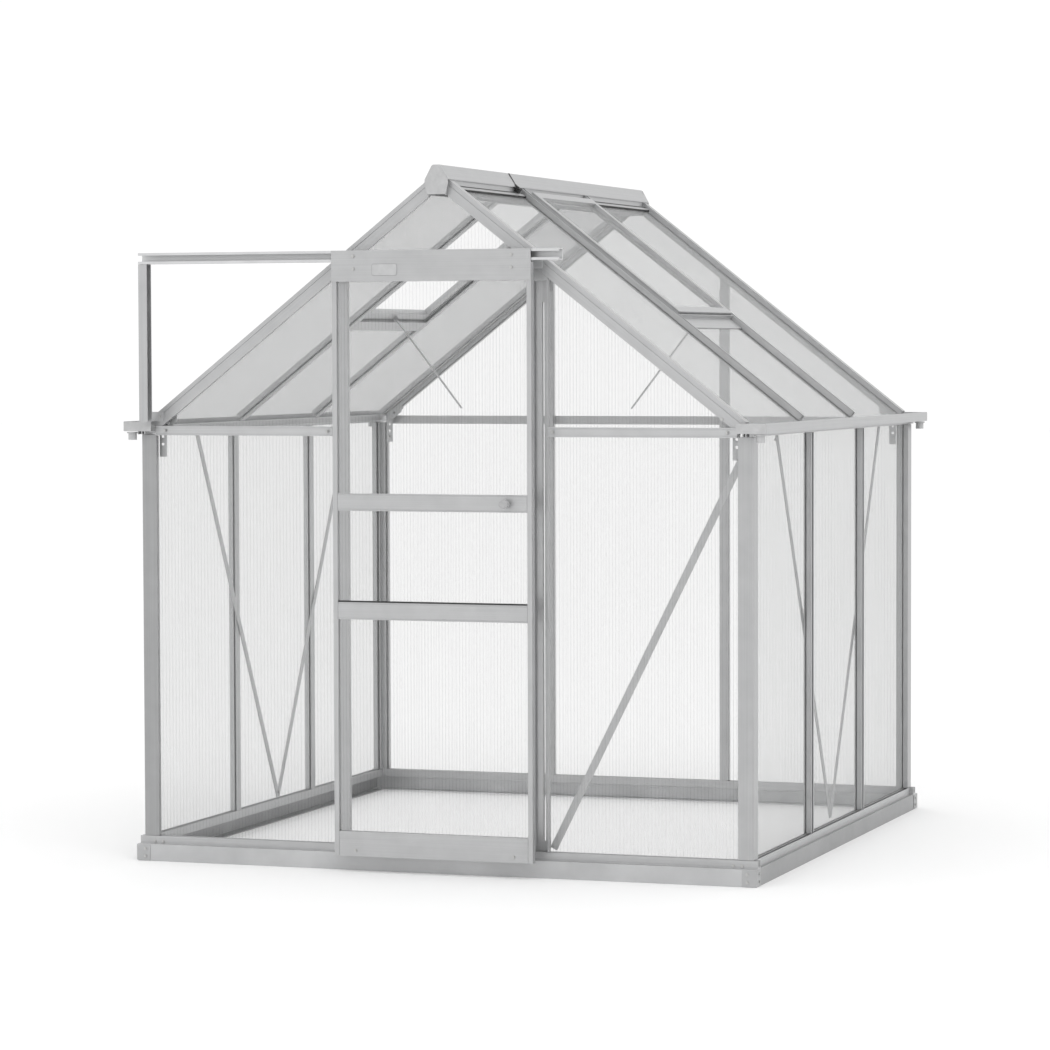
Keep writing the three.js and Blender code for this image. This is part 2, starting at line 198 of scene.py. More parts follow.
def stretchedNoise(tree, turn, size, detail):
    # noise whose grain has the given size along each turned axis
    coords = newNode(tree, "ShaderNodeTexCoord")
    mapping = newNode(tree, "ShaderNodeMapping", vector_type="TEXTURE")
    mapping.inputs["Rotation"].default_value = turn
    mapping.inputs["Scale"].default_value = size
    noise = newNode(tree, "ShaderNodeTexNoise")
    noise.inputs["Scale"].default_value = 1
    noise.inputs["Detail"].default_value = detail
    tree.links.new(coords.outputs["Object"], mapping.inputs["Vector"])
    tree.links.new(mapping.outputs["Vector"], noise.inputs["Vector"])
    return noise


def rampBetween(tree, source, dark, bright, low=0.3, high=0.7):
    ramp = newNode(tree, "ShaderNodeValToRGB")
    ramp.color_ramp.elements[0].position = low
    ramp.color_ramp.elements[0].color = (*dark, 1)
    ramp.color_ramp.elements[1].position = high
    ramp.color_ramp.elements[1].color = (*bright, 1)
    tree.links.new(source, ramp.inputs["Fac"])
    return ramp


def scaleBetween(tree, source, low, high):
    span = newNode(tree, "ShaderNodeMapRange")
    span.inputs["To Min"].default_value = low
    span.inputs["To Max"].default_value = high
    tree.links.new(source, span.inputs["Value"])
    return span


def addBump(tree, shader, height, strength, distance):
    bump = newNode(tree, "ShaderNodeBump")
    bump.inputs["Strength"].default_value = strength
    bump.inputs["Distance"].default_value = distance
    tree.links.new(height, bump.inputs["Height"])
    tree.links.new(bump.outputs["Normal"], shader.inputs["Normal"])


def evenSize(size):
    return (size, size, size)


extrusion = {
    "dark": (0.435, 0.438, 0.442),
    "bright": (0.525, 0.528, 0.532),
    "metallic": 0.75,
    "roughLow": 0.32,
    "roughHigh": 0.5,
    "across": 0.0022,   # die-line spacing
    "along": 0.5,
    "cloud": 0.06,      # handling marks
    "cloudShare": 0.45,
    "bump": 0.05,
    "bumpDepth": 0.0004,
    # gains that paint light and shade into the bars' colour: painted shade on the posts, strongest on the
    # front-left post; painted light on the rail and the ties
    "postPaintedShade": 0.92,
    "frontLeftPaintedShade": 0.74,
    "railPaintedLight": 1.3,
    "tiePaintedLight": 1.1,
}
barTurns = {
    "x": (0, math.radians(90), 0),
    "y": (math.radians(90), 0, 0),
    "z": (0, 0, 0),
    "right": (0, math.radians(90) + slopeAngle, 0),
    "left": (0, math.radians(90) - slopeAngle, 0),
}


def millAluminium(direction, barPaintedLightGain=1.0, name="millAluminium"):
    material, tree, shader = startMaterial(f"{name}_{direction}")
    size = (extrusion["across"], extrusion["across"], extrusion["along"])
    lines = stretchedNoise(tree, barTurns[direction], size, 3)
    cloud = stretchedNoise(tree, (0, 0, 0), evenSize(extrusion["cloud"]), 4)
    blended = newNode(tree, "ShaderNodeMix", data_type="FLOAT")
    blended.inputs["Factor"].default_value = extrusion["cloudShare"]
    tree.links.new(lines.outputs["Fac"], blended.inputs["A"])
    tree.links.new(cloud.outputs["Fac"], blended.inputs["B"])
    # the gain scales the colour: above 1 it paints light, below 1 it paints shade
    dark = [channel * barPaintedLightGain for channel in extrusion["dark"]]
    bright = [channel * barPaintedLightGain for channel in extrusion["bright"]]
    ramp = rampBetween(tree, blended.outputs["Result"], dark, bright)
    tree.links.new(ramp.outputs["Color"], shader.inputs["Base Color"])
    rough = scaleBetween(tree, cloud.outputs["Fac"], extrusion["roughLow"], extrusion["roughHigh"])
    tree.links.new(rough.outputs["Result"], shader.inputs["Roughness"])
    shader.inputs["Metallic"].default_value = extrusion["metallic"]
    addBump(tree, shader, lines.outputs["Fac"], extrusion["bump"], extrusion["bumpDepth"])
    return material


plinthPaint = {
    "dark": (0.39, 0.393, 0.397),
    "bright": (0.46, 0.463, 0.467),
    "grain": 0.004,
    "patch": 0.12,
    "roughLow": 0.38,
    "roughHigh": 0.55,
    "metallic": 0.55,
    "bump": 0.06,
    "bumpDepth": 0.0005,
    # per-side gains that paint light and shade: painted light on the front and back, painted shade on the sides
    "frontPaintedLight": 1.18,
    "backPaintedLight": 1.5,
    "sidePaintedShade": 0.82,
}


def galvanisedPlinth(name, plinthPaintedLightGain):
    # zinc-coated sheet: spangle patches under a fine satin grain
    material, tree, shader = startMaterial(name)
    # the gain scales the colour for each side: above 1 it paints light, below 1 it paints shade
    dark, bright = (tuple(value * plinthPaintedLightGain for value in plinthPaint[tone]) for tone in ("dark", "bright"))
    patch = stretchedNoise(tree, (0, 0, 0), evenSize(plinthPaint["patch"]), 5)
    grain = stretchedNoise(tree, (0, 0, 0), evenSize(plinthPaint["grain"]), 2)
    ramp = rampBetween(tree, patch.outputs["Fac"], dark, bright)
    tree.links.new(ramp.outputs["Color"], shader.inputs["Base Color"])
    rough = scaleBetween(tree, grain.outputs["Fac"], plinthPaint["roughLow"], plinthPaint["roughHigh"])
    tree.links.new(rough.outputs["Result"], shader.inputs["Roughness"])
    shader.inputs["Metallic"].default_value = plinthPaint["metallic"]
    addBump(tree, shader, grain.outputs["Fac"], plinthPaint["bump"], plinthPaint["bumpDepth"])
    return material


sheet = {
    "dark": (0.36, 0.365, 0.365),
    "bright": (0.44, 0.445, 0.445),
    "skinTint": 0.049,    # opacity of one face seen square on
    "webTint": 0.028,
    # painted shade: the roof skins are greyer than the walls' skins, and the left slope greyer than the right
    "roofPaintedShadeTint": {"left": 0.078, "right": 0.056},
    "ventTint": 0.006,
    "most": 0.4,          # opacity of a face seen along its surface
    "ventMost": 0.1,
    "roughness": 0.45,
    "webRoughness": 0.5,
    "ventRoughness": 0.3,
    "roughSpread": 0.2,
    "haze": (0.05, 0.05, 0.3),
    "lowestAngle": 0.03,
    "bending": 1.58,
    "specular": 0.15,
}


def clearSheet(name, tint, most, roughness):
    # polycarbonate with a faint haze that wanders along the sheet and thickens at a low angle
    material, tree, shader = startMaterial(name)
    haze = stretchedNoise(tree, (0, 0, 0), sheet["haze"], 3)
    ramp = rampBetween(tree, haze.outputs["Fac"], sheet["dark"], sheet["bright"])
    tree.links.new(ramp.outputs["Color"], shader.inputs["Base Color"])
    spread = sheet["roughSpread"]
    rough = scaleBetween(tree, haze.outputs["Fac"], roughness * (1 - spread), roughness * (1 + spread))
    tree.links.new(rough.outputs["Result"], shader.inputs["Roughness"])
    edge = newNode(tree, "ShaderNodeLayerWeight")
    edge.inputs["Blend"].default_value = 0.5
    facing = mathNode(tree, "SUBTRACT", 1.0, edge.outputs["Facing"])
    straight = mathNode(tree, "MAXIMUM", facing, sheet["lowestAngle"])
    opacity = mathNode(tree, "MINIMUM", mathNode(tree, "DIVIDE", tint, straight), most)
    tree.links.new(opacity, shader.inputs["Alpha"])
    shader.inputs["IOR"].default_value = sheet["bending"]
    shader.inputs["Specular IOR Level"].default_value = sheet["specular"]
    return material


plastic = {"grain": 0.0012, "tone": 0.02, "roughSpread": 0.08, "bump": 0.12, "bumpDepth": 0.0003}


def mouldedPlastic(name, dark, bright, roughness):
    material, tree, shader = startMaterial(name)
    grain = stretchedNoise(tree, (0, 0, 0), evenSize(plastic["grain"]), 2)
    tone = stretchedNoise(tree, (0, 0, 0), evenSize(plastic["tone"]), 3)
    ramp = rampBetween(tree, tone.outputs["Fac"], dark, bright)
    tree.links.new(ramp.outputs["Color"], shader.inputs["Base Color"])
    spread = plastic["roughSpread"]
    rough = scaleBetween(tree, grain.outputs["Fac"], roughness - spread, roughness + spread)
    tree.links.new(rough.outputs["Result"], shader.inputs["Roughness"])
    addBump(tree, shader, grain.outputs["Fac"], plastic["bump"], plastic["bumpDepth"])
    return material


zinc = {
    "dark": (0.46, 0.46, 0.455),
    "bright": (0.56, 0.56, 0.555),
    "tone": 0.003,
    "roughLow": 0.3,
    "roughHigh": 0.5,
    "metallic": 0.9,
}


def zincBolt():
    material, tree, shader = startMaterial("zincBolt")
    tone = stretchedNoise(tree, (0, 0, 0), evenSize(zinc["tone"]), 3)
    ramp = rampBetween(tree, tone.outputs["Fac"], zinc["dark"], zinc["bright"])
    tree.links.new(ramp.outputs["Color"], shader.inputs["Base Color"])
    rough = scaleBetween(tree, tone.outputs["Fac"], zinc["roughLow"], zinc["roughHigh"])
    tree.links.new(rough.outputs["Result"], shader.inputs["Roughness"])
    shader.inputs["Metallic"].default_value = zinc["metallic"]
    return material


aluminium = {direction: millAluminium(direction) for direction in barTurns}
# lit and shaded copies of the same aluminium: painted shade on the posts, painted light on the rail and the
# ties
postPaintedShadeAluminium = millAluminium("z", extrusion["postPaintedShade"], "postPaintedShadeAluminium")
paintedShadePost = millAluminium("z", extrusion["frontLeftPaintedShade"], "paintedShadePost")
railPaintedLightAluminium = millAluminium("x", extrusion["railPaintedLight"], "railPaintedLightAluminium")
tiePaintedLightAluminium = millAluminium("x", extrusion["tiePaintedLight"], "tiePaintedLightAluminium")
plinthMaterial = galvanisedPlinth("galvanisedPlinth", 1.0)
# lit and shaded copies of one plinth finish, one for each side
plinthSides = {
    "base_front": galvanisedPlinth("frontPlinthPaintedLight", plinthPaint["frontPaintedLight"]),
    "base_back": galvanisedPlinth("backPlinthPaintedLight", plinthPaint["backPaintedLight"]),
    "base_left": galvanisedPlinth("sidePlinthPaintedShade", plinthPaint["sidePaintedShade"]),
}
plinthSides["base_right"] = plinthSides["base_left"]
skinMaterial = clearSheet("sheetSkin", sheet["skinTint"], sheet["most"], sheet["roughness"])
webMaterial = clearSheet("sheetWeb", sheet["webTint"], sheet["most"], sheet["webRoughness"])
ventMaterial = clearSheet("ventSheet", sheet["ventTint"], sheet["ventMost"], sheet["ventRoughness"])
# roof skins with painted shade, one copy for each slope
roofPaintedShadeMaterials = {
    side: clearSheet(f"roofSkinPaintedShade_{side}", tint, sheet["most"], sheet["roughness"])
    for side, tint in sheet["roofPaintedShadeTint"].items()
}
rubberMaterial = mouldedPlastic("blackRubber", (0.012, 0.012, 0.012), (0.03, 0.03, 0.03), 0.6)
knobMaterial = mouldedPlastic("knobPlastic", (0.36, 0.36, 0.365), (0.44, 0.44, 0.445), 0.42)
capMaterial = mouldedPlastic("capPlastic", (0.42, 0.422, 0.425), (0.50, 0.502, 0.505), 0.5)
greyPlastic = mouldedPlastic("greyPlastic", (0.30, 0.30, 0.305), (0.38, 0.38, 0.385), 0.5)
labelMaterial = mouldedPlastic("blankLabel", (0.44, 0.443, 0.446), (0.50, 0.503, 0.506), 0.35)
boltMaterial = zincBolt()
print("materials ready")


# mesh helpers

def linkMesh(name, mesh, body, material=None):
    piece = bpy.data.objects.new(name, mesh)
    bpy.context.collection.objects.link(piece)
    if material is not None:
        mesh.materials.clear()
        mesh.materials.append(material)
    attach(piece, body)
    return piece


easing = {"angle": 25, "merge": 1e-6, "flat": 0.5}     # degrees, metres, degrees


def addBevel(piece, width, segments=2):
    bevel = piece.modifiers.new("edges", "BEVEL")
    bevel.width = width
    bevel.segments = segments
    bevel.limit_method = "ANGLE"
    bevel.angle_limit = math.radians(easing["angle"])
    bevel.harden_normals = False


def mergedCopy(node):
    # the node's shape with whole faces in place of its loose triangles
    bm = bmesh.new()
    bm.from_mesh(nodes[node].data)
    bmesh.ops.remove_doubles(bm, verts=bm.verts, dist=easing["merge"])
    bmesh.ops.dissolve_limit(bm, angle_limit=math.radians(easing["flat"]), verts=bm.verts,
                              edges=bm.edges)
    bmesh.ops.recalc_face_normals(bm, faces=bm.faces)
    mesh = bpy.data.meshes.new(node + "_finished")
    bm.to_mesh(mesh)
    bm.free()
    return mesh


def addBox(bm, low, high):
    corners = [Vector((x, y, z)) for x in (low[0], high[0]) for y in (low[1], high[1])
               for z in (low[2], high[2])]
    verts = [bm.verts.new(corner) for corner in corners]
    for loop in ((0, 1, 3, 2), (4, 6, 7, 5), (0, 4, 5, 1), (2, 3, 7, 6), (0, 2, 6, 4), (1, 5, 7, 3)):
        bm.faces.new([verts[i] for i in loop])


def addPrism(bm, outline, toWorld, depth):
    # a closed slab: outline in the plane, depth along the plane's normal
    near = [bm.verts.new(toWorld(a, 0, b)) for a, b in outline]
    far = [bm.verts.new(toWorld(a, depth, b)) for a, b in outline]
    bm.faces.new(near)
    bm.faces.new(list(reversed(far)))
    for i in range(len(outline)):
        j = (i + 1) % len(outline)
        bm.faces.new((near[j], near[i], far[i], far[j]))


def meshFrom(bm, name):
    bmesh.ops.recalc_face_normals(bm, faces=bm.faces)
    mesh = bpy.data.meshes.new(name)
    bm.to_mesh(mesh)
    bm.free()
    return mesh


# geometry node helpers

def startTree(name, inputs):
    tree = bpy.data.node_groups.new(name, "GeometryNodeTree")
    tree.interface.new_socket("Geometry", in_out="INPUT", socket_type="NodeSocketGeometry")
    for label, kind in inputs:
        tree.interface.new_socket(label, in_out="INPUT", socket_type=kind)
    tree.interface.new_socket("Geometry", in_out="OUTPUT", socket_type="NodeSocketGeometry")
    return tree, newNode(tree, "NodeGroupInput"), newNode(tree, "NodeGroupOutput")


def bakeTree(name, mesh, tree, values):
    # runs the tree on a mesh and returns the plain result
    carrier = bpy.data.objects.new(name + "_carrier", mesh)
    bpy.context.collection.objects.link(carrier)
    modifier = carrier.modifiers.new("build", "NODES")
    modifier.node_group = tree
    for item in tree.interface.items_tree:
        if item.in_out == "INPUT" and item.name in values:
            modifier[item.identifier] = values[item.name]
    bpy.context.view_layer.update()
    evaluated = carrier.evaluated_get(bpy.context.evaluated_depsgraph_get())
    baked = bpy.data.meshes.new_from_object(evaluated)
    bpy.data.objects.remove(carrier, do_unlink=True)
    baked.name = name
    return baked


# bars, posts and rails: the frame's own shapes with eased edges

bars = {
    "edge": 0.0006,
    "x": ["tie_front_left", "tie_front_right", "tie_back"],
    "post": ["post_front_left", "post_front_right", "post_back_left", "post_back_right"],
    "z": ["stud_left_front", "stud_left_back", "stud_right_front", "stud_right_back",
          "stud_back_left", "stud_back_right", "rail_post", "jamb_left", "jamb_right"],
    "y": ["gutter_left", "gutter_right", "ridge", "vent_sill_left", "vent_sill_right"],
    "right": ["rafter_right_gable_front", "rafter_right_gable_back", "rafter_right_front", "rafter_right_back"],
    "left": ["rafter_left_gable_front", "rafter_left_gable_back", "rafter_left_front", "rafter_left_back"],
    "brace": ["brace_left", "brace_right", "brace_front"],
}
doorBars = {
    "z": ["door_stile_left", "door_stile_right"],
    "x": ["door_header", "door_mid_rail_upper", "door_mid_rail_lower", "door_bottom_rail"],
}


def dressBar(node, body, material):
    piece = linkMesh(node + "_bar", mergedCopy(node), body, material)
    addBevel(piece, bars["edge"])
    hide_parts(node)


for direction in ("x", "y", "z", "right", "left"):
    for node in bars[direction]:
        dressBar(node, "frame", tiePaintedLightAluminium if direction == "x" else aluminium[direction])
for node in bars["post"]:
    dressBar(node, "frame", paintedShadePost if node == "post_front_left" else postPaintedShadeAluminium)
for node in bars["brace"]:
    dressBar(node, "frame", aluminium["z"])
dressBar("rail", "frame", railPaintedLightAluminium)
for direction in ("x", "z"):
    for node in doorBars[direction]:
        dressBar(node, "door", aluminium[direction])
for side in ("left", "right"):
    dressBar(f"vent_frame_{side}", f"vent_{side}", aluminium[side])
    dressBar(f"vent_stay_{side}", f"stay_{side}", aluminium["z"])
print("bars dressed")


# plinth with the sill bar on top

plinth = {"sillDepth": 0.0215, "edge": 0.0008}


def dressPlinth(node):
    mesh = mergedCopy(node)
    piece = linkMesh(node + "_plinth", mesh, "frame", plinthSides[node])
    direction = "x" if node in ("base_front", "base_back") else "y"
    mesh.materials.append(aluminium[direction])
    sillBottom = highCorner(node).z - plinth["sillDepth"]
    for polygon in mesh.polygons:
        if polygon.center.z > sillBottom:
            polygon.material_index = 1
    addBevel(piece, plinth["edge"])
    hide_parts(node)


for node in ("base_front", "base_back", "base_left", "base_right"):
    dressPlinth(node)

corner = {"width": 0.042, "thick": 0.0016, "height": 0.046, "lift": 0.002, "edge": 0.0005}


def makePlinthCorners():
    # folded plates round the four outer corners
    for sideX in (-1, 1):
        for sideY in (-1, 1):
            bm = bmesh.new()
            x = highCorner("base_front").x
            y = highCorner("base_back").y if sideY > 0 else -lowCorner("base_front").y
            width, thick = corner["width"], corner["thick"]
            outline = [(x - width, y), (x, y), (x, y - width), (x + thick, y - width), (x + thick, y + thick),
                       (x - width, y + thick)]
            points = [(a * sideX, b * sideY) for a, b in outline]
            addPrism(bm, points, lambda a, depth, b: Vector((a, b, corner["lift"] + depth)), corner["height"])
            name = f"plinth_corner_{'right' if sideX > 0 else 'left'}_{'back' if sideY > 0 else 'front'}"
            piece = linkMesh(name, meshFrom(bm, name), "frame", plinthMaterial)
            addBevel(piece, corner["edge"])


makePlinthCorners()
print("plinth made")


# twin-wall sheets: two skins joined by webs

twinWall = {
    "pitch": 0.0105,      # web spacing
    "webThick": 0.0005,
    "skin": 0.0004,
    "depth": highCorner("glazing_right").x - lowCorner("glazing_right").x,
    "slot": 0.003,        # half of the gap at each glazing bar
    "inset": 0.001,       # webs stop short of the pane's ends
    "joint": 0.001,       # panes stop short of each other
    "gableDrop": 0.025,   # gable sheets stop this far below the roof plane
    "sillCover": 0.021,   # the middle roof sheets start this far below the vent sill's top
}


def webTree():
    tree, given, out = startTree("sheetWebs", [
        ("Start", "NodeSocketFloat"), ("End", "NodeSocketFloat"), ("Pitch", "NodeSocketFloat"),
        ("Bottom", "NodeSocketFloat"), ("Crown", "NodeSocketFloat"), ("Peak", "NodeSocketFloat"),
        ("Fall", "NodeSocketFloat"), ("Thickness", "NodeSocketFloat"), ("Depth", "NodeSocketFloat"),
        ("Material", "NodeSocketMaterial"),
    ])
    span = mathNode(tree, "SUBTRACT", given.outputs["End"], given.outputs["Start"])
    steps = mathNode(tree, "FLOOR", mathNode(tree, "DIVIDE", span, given.outputs["Pitch"]))
    used = mathNode(tree, "MULTIPLY", mathNode(tree, "SUBTRACT", steps, 1.0), given.outputs["Pitch"])
    margin = mathNode(tree, "DIVIDE", mathNode(tree, "SUBTRACT", span, used), 2.0)
    first = newNode(tree, "ShaderNodeCombineXYZ")
    tree.links.new(mathNode(tree, "ADD", given.outputs["Start"], margin), first.inputs["X"])
    step = newNode(tree, "ShaderNodeCombineXYZ")
    tree.links.new(given.outputs["Pitch"], step.inputs["X"])
    line = newNode(tree, "GeometryNodeMeshLine")
    tree.links.new(steps, line.inputs["Count"])
    tree.links.new(first.outputs[0], line.inputs["Start Location"])
    tree.links.new(step.outputs[0], line.inputs["Offset"])
    position = newNode(tree, "GeometryNodeInputPosition")
    split = newNode(tree, "ShaderNodeSeparateXYZ")
    tree.links.new(position.outputs[0], split.inputs[0])
    away = mathNode(tree, "ABSOLUTE", split.outputs["X"])
    sloped = mathNode(tree, "SUBTRACT", given.outputs["Peak"],
                      mathNode(tree, "MULTIPLY", away, given.outputs["Fall"]))
    top = mathNode(tree, "MINIMUM", sloped, given.outputs["Crown"])
    height = mathNode(tree, "SUBTRACT", top, given.outputs["Bottom"])
    centre = newNode(tree, "ShaderNodeCombineXYZ")
    tree.links.new(split.outputs["X"], centre.inputs["X"])
    middle = mathNode(tree, "ADD", given.outputs["Bottom"], mathNode(tree, "DIVIDE", height, 2.0))
    tree.links.new(middle, centre.inputs["Z"])
    placed = newNode(tree, "GeometryNodeSetPosition")
    tree.links.new(line.outputs["Mesh"], placed.inputs["Geometry"])
    tree.links.new(centre.outputs[0], placed.inputs["Position"])
    size = newNode(tree, "ShaderNodeCombineXYZ")
    tree.links.new(given.outputs["Thickness"], size.inputs["X"])
    tree.links.new(given.outputs["Depth"], size.inputs["Y"])
    tree.links.new(height, size.inputs["Z"])
    web = newNode(tree, "GeometryNodeMeshCube")
    copies = newNode(tree, "GeometryNodeInstanceOnPoints")
    tree.links.new(placed.outputs[0], copies.inputs["Points"])
    tree.links.new(web.outputs["Mesh"], copies.inputs["Instance"])
    tree.links.new(size.outputs[0], copies.inputs["Scale"])
    real = newNode(tree, "GeometryNodeRealizeInstances")
    finish = newNode(tree, "GeometryNodeSetMaterial")
    tree.links.new(copies.outputs[0], real.inputs[0])
    tree.links.new(real.outputs[0], finish.inputs["Geometry"])
    tree.links.new(given.outputs["Material"], finish.inputs["Material"])
    tree.links.new(finish.outputs[0], out.inputs[0])
    return tree


sheetWebs = webTree()


def addPane(skins, webs, pane, toWorld, webFinish=None):
    # pane: start, end, bottom and the top's outline: crown, peak and fall; toWorld takes across, depth, up
    start, end, bottom = pane["start"], pane["end"], pane["bottom"]
    crown = pane["crown"]
    peak = pane.get("peak", crown)
    fall = pane.get("fall", 0.0)
    topAt = lambda a: min(crown, peak - abs(a) * fall)
    outline = [(start, bottom), (end, bottom), (end, topAt(end))]
    if fall:
        shoulder = (peak - crown) / fall
        outline += [(a, crown) for a in (shoulder, -shoulder) if start < a < end]
    outline.append((start, topAt(start)))
    depth, inset = twinWall["depth"], twinWall["inset"]
    addPrism(skins, outline, toWorld, depth)
    values = {
        "Start": start, "End": end, "Pitch": twinWall["pitch"], "Bottom": bottom + inset,
        "Crown": crown - inset, "Peak": peak - inset, "Fall": fall,
        "Thickness": twinWall["webThick"], "Depth": depth - 2 * twinWall["skin"],
        "Material": webFinish or webMaterial,
    }
    baked = bakeTree("webs", bpy.data.meshes.new("seed"), sheetWebs, values)
    for vertex in baked.vertices:
        across, through, up = vertex.co
        vertex.co = toWorld(across, through + depth / 2, up)
    webs.from_mesh(baked)
    bpy.data.meshes.remove(baked)


def finishPanes(name, skins, webs, body, node, skinFinish=None, webFinish=None):
    skinMesh, webMesh = meshFrom(skins, name + "_skins"), meshFrom(webs, name + "_webs")
    skinPiece = linkMesh(name + "_skins", skinMesh, body, skinFinish or skinMaterial)
    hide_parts(node)
    linkMesh(name + "_webs", webMesh, body, webFinish or webMaterial)


def bayEdges(limit):
    slot = twinWall["slot"]
    return [(-limit, -studY - slot), (-studY + slot, studY - slot), (studY + slot, limit)]


def makeSideSheets():
    for side, name in ((-1, "left"), (1, "right")):
        node = f"glazing_{name}"
        low, high = lowCorner(node), highCorner(node)
        nearX = min(abs(low.x), abs(high.x))
        skins, webs = bmesh.new(), bmesh.new()
        place = lambda a, depth, up: Vector(((nearX + depth) * side, middleY + a, up))
        for start, end in bayEdges((high.y - low.y) / 2):
            addPane(skins, webs, {"start": start, "end": end, "bottom": low.z, "crown": high.z}, place)
        finishPanes(f"sheets_{name}", skins, webs, "frame", node)


def gablePane(node, start, end, bottom):
    high = highCorner(node)
    peak = peakZ - twinWall["gableDrop"] / math.cos(slopeAngle)
    return {"start": start, "end": end, "bottom": bottom, "crown": high.z, "peak": peak,
            "fall": math.tan(slopeAngle)}


def makeGableSheets():
    low, high = lowCorner("glazing_back"), highCorner("glazing_back")
    skins, webs = bmesh.new(), bmesh.new()
    for start, end in bayEdges(high.x):
        addPane(skins, webs, gablePane("glazing_back", start, end, low.z),
                lambda a, depth, up: Vector((a, low.y + depth, up)))
    finishPanes("sheets_back", skins, webs, "frame", "glazing_back")
    frontLow, frontHigh = lowCorner("glazing_front"), highCorner("glazing_front")
    lintel = highCorner("jamb_left").z + twinWall["joint"]
    skins, webs = bmesh.new(), bmesh.new()
    edges = bayEdges(frontHigh.x)
    bottoms = (frontLow.z, lintel, frontLow.z)
    for (start, end), bottom in zip(edges, bottoms):
        addPane(skins, webs, gablePane("glazing_front", start, end, bottom),
                lambda a, depth, up: Vector((a, frontLow.y + depth, up)))
    finishPanes("sheets_front", skins, webs, "frame", "glazing_front")


def slopeRange(node):
    # where a right-hand roof node starts and ends along the slope, and its inner face
    down = Vector((math.cos(slopeAngle), 0, -math.sin(slopeAngle)))
    out = Vector((math.sin(slopeAngle), 0, math.cos(slopeAngle)))
    places = [Vector(vertex.co) - Vector((0, 0, peakZ)) for vertex in nodes[node].data.vertices]
    alongs = [place.dot(down) for place in places]
    return min(alongs), max(alongs), min(place.dot(out) for place in places)


def makeRoofSheets():
    start, end, inner = slopeRange("glazing_roof_right")
    sillStart = slopeRange("vent_sill_right")[0]
    half = (highCorner("glazing_roof_right").y - lowCorner("glazing_roof_right").y) / 2
    for side, name in ((-1, "left"), (1, "right")):
        skins, webs = bmesh.new(), bmesh.new()
        place = lambda a, depth, up: slopePoint(end - up, inner + depth, middleY + a, side)
        lengths = (end - start, end - sillStart - twinWall["sillCover"], end - start)
        for (low, high), length in zip(bayEdges(half), lengths):
            addPane(skins, webs, {"start": low, "end": high, "bottom": 0.0, "crown": length}, place)
        finishPanes(f"sheets_roof_{name}", skins, webs, "frame", f"glazing_roof_{name}", roofPaintedShadeMaterials[name],
                    webMaterial)
        ventStart, ventEnd, ventInner = slopeRange("vent_pane_right")
        ventHalf = (highCorner("vent_pane_right").y - lowCorner("vent_pane_right").y) / 2
        skins, webs = bmesh.new(), bmesh.new()
        place = lambda a, depth, up: slopePoint(ventEnd - up, ventInner + depth, middleY + a, side)
        pane = {"start": -ventHalf, "end": ventHalf, "bottom": 0.0, "crown": ventEnd - ventStart}
        skinFinish, webFinish = (ventMaterial, ventMaterial) if side < 0 else (skinMaterial, webMaterial)
        addPane(skins, webs, pane, place, webFinish)
        finishPanes(f"sheets_vent_{name}", skins, webs, f"vent_{name}",
                    f"vent_pane_{name}", skinFinish, webFinish)


def makeDoorSheets():
    low, high = lowCorner("door_pane"), highCorner("door_pane")
    skins, webs = bmesh.new(), bmesh.new()
    centre = (low.x + high.x) / 2
    half = (high.x - low.x) / 2
    lowerRail = (lowCorner("door_mid_rail_lower").z + highCorner("door_mid_rail_lower").z) / 2
    upperRail = (lowCorner("door_mid_rail_upper").z + highCorner("door_mid_rail_upper").z) / 2
    levels = [low.z, lowerRail, upperRail, high.z]
    place = lambda a, depth, up: Vector((centre + a, low.y + depth, up))
    for bottom, top in zip(levels[:-1], levels[1:]):
        joint = twinWall["joint"]
        pane = {"start": -half, "end": half, "bottom": bottom + joint, "crown": top - joint}
        addPane(skins, webs, pane, place)
    finishPanes("sheets_door", skins, webs, "door", "door_pane")


makeSideSheets()
makeGableSheets()
makeRoofSheets()
makeDoorSheets()
print("twin-wall sheets made")

# plates, caps and outlets

gusset = {
    "thick": 0.002,
    "setIn": 0.0244,      # from the wall's outer face to behind the bars
    "outline": [(0.868, 1.195), (0.890, 1.195), (0.890, 1.288), (0.835, 1.331), (0.835, 1.298), (0.868, 1.272)],
    "bolts": [(0.881, 1.211), (0.879, 1.279), (0.844, 1.311)],
    "holes": [(0.880, 1.232), (0.880, 1.255), (0.862, 1.294)],
    "holeRadius": 0.0045,
    "holeSides": 16,
}


def punchedPlate(bm, outline, holes, radius, toWorld, thick):
    # a plate with round holes through it, as two faces with filled-in rims
    plane = bmesh.new()
    sides = gusset["holeSides"]
    turns = [math.tau * i / sides for i in range(sides)]
    rims = [outline] + [[(x + radius * math.cos(turn), z + radius * math.sin(turn)) for turn in turns]
                        for x, z in holes]
    for rim in rims:
        verts = [plane.verts.new((x, z, 0)) for x, z in rim]
        for i, vert in enumerate(verts):
            plane.edges.new((vert, verts[(i + 1) % len(verts)]))
    bmesh.ops.triangle_fill(plane, edges=plane.edges, use_beauty=True)
    border = [edge for edge in plane.edges if len(edge.link_faces) == 1]
    near = {vert: bm.verts.new(toWorld(vert.co.x, 0, vert.co.y)) for vert in plane.verts}
    far = {vert: bm.verts.new(toWorld(vert.co.x, thick, vert.co.y)) for vert in plane.verts}
    for face in plane.faces:
        bm.faces.new([near[vert] for vert in face.verts])
        bm.faces.new([far[vert] for vert in reversed(face.verts)])
    for edge in border:
        first, second = edge.verts
        bm.faces.new((near[first], near[second], far[second], far[first]))
    plane.free()


